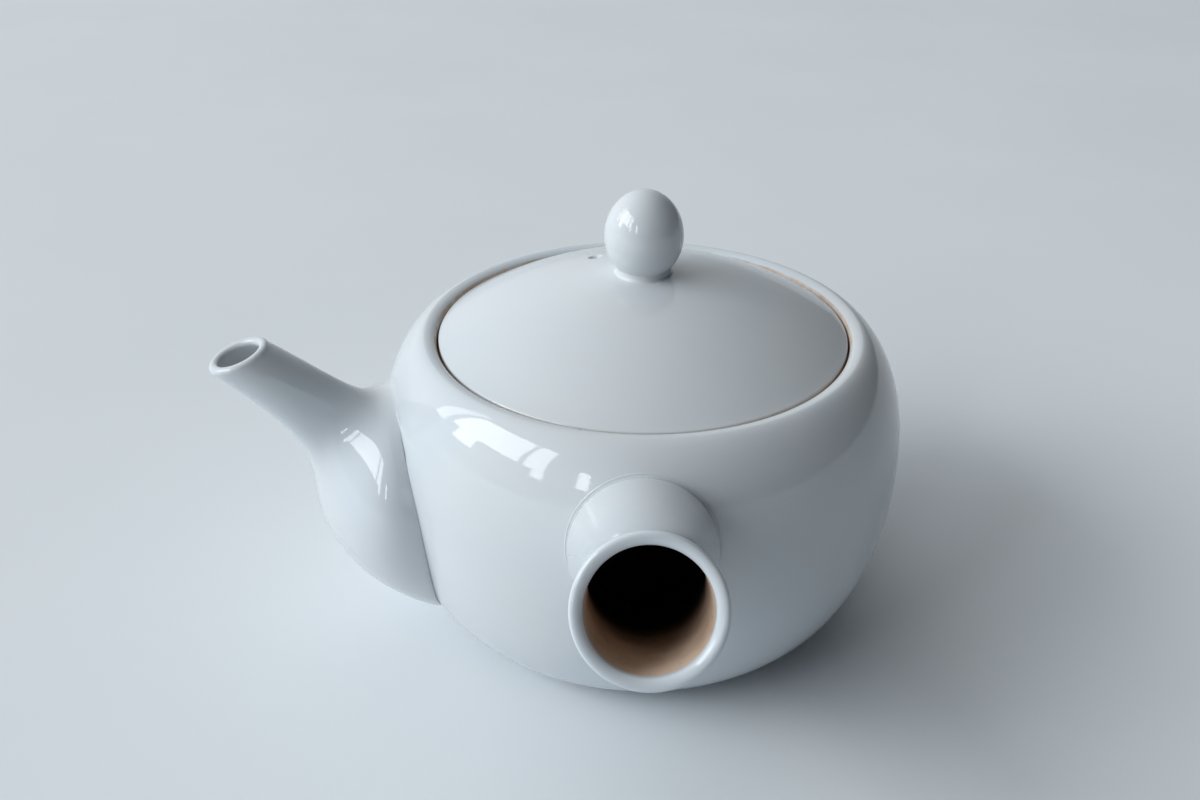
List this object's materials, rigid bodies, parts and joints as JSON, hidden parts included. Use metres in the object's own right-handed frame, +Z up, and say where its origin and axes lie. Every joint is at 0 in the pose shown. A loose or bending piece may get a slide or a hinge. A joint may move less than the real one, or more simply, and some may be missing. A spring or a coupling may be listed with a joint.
{
  "type": "side-handled teapot",
  "caption": "Round porcelain teapot with a hollow side handle, a flared spout with a pierced strainer behind it, and a shallow lift-off lid with an egg-shaped knob.",
  "frame": {"origin": "centre of the bottom of the whole teapot's bounding box, on the surface that the foot ring rests on", "axes": "+Z up along the lid's lift, -Y towards the mouth of the side handle, -X towards the spout"},
  "size_m": [0.145, 0.1672, 0.0992],
  "materials": {
    "white_glaze": "clear glossy glaze over white porcelain",
    "strainer_clay": "bare fired clay"
  },
  "bodies": {
    "pot": {"pot_body": "white_glaze", "spout": "white_glaze", "strainer": "strainer_clay", "handle": "white_glaze"},
    "lid": {"lid": "white_glaze", "knob": "white_glaze"}
  },
  "joints": [
    {"name": "lid_lift", "type": "slide", "parent": "pot", "child": "lid", "axis": [0, 0, 1], "range_m": [0, 0.06]}
  ]
}
